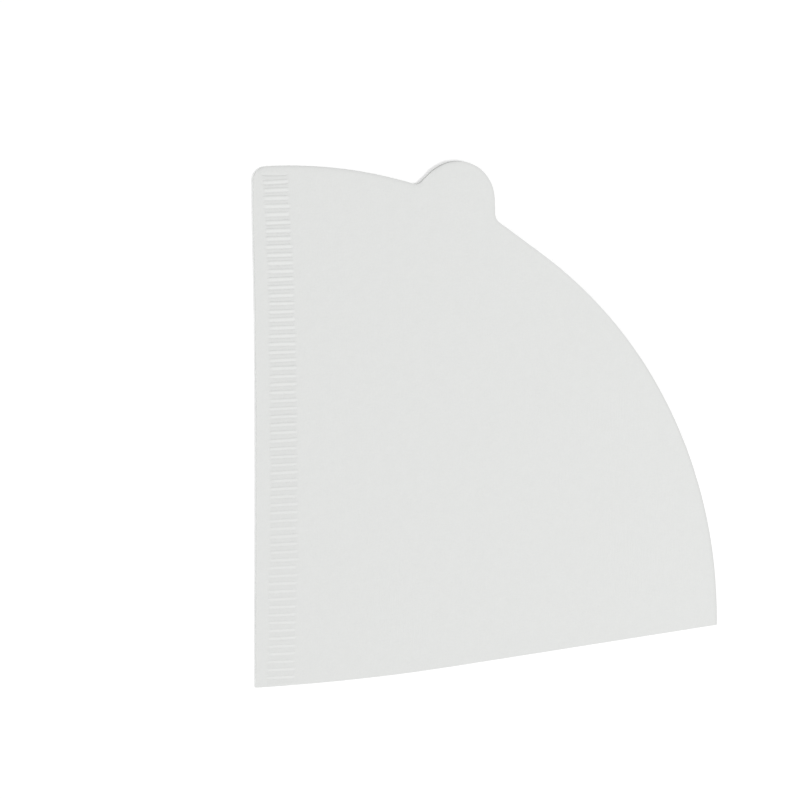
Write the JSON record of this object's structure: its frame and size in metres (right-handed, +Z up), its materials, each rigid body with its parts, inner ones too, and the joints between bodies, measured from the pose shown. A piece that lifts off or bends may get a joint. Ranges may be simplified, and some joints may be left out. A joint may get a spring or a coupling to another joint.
{
  "type": "paper coffee filter",
  "caption": "Cone-shaped paper coffee filter, folded flat to a quarter circle, with a crimped side seam and a round pull tab on the rim.",
  "frame": {"origin": "centre of the footprint of the flat filter, on the surface that it lies on", "axes": "+X along the folded edge, from the pointed tip to the rim; +Y along the crimped seam, from the tip to the rim; +Z up, out of the flat filter"},
  "size_m": [0.1244, 0.121, 0.0016],
  "materials": {
    "filter_paper": "matt white crepe filter paper"
  },
  "bodies": {
    "root": {"paper_filter": "filter_paper"}
  },
  "joints": []
}
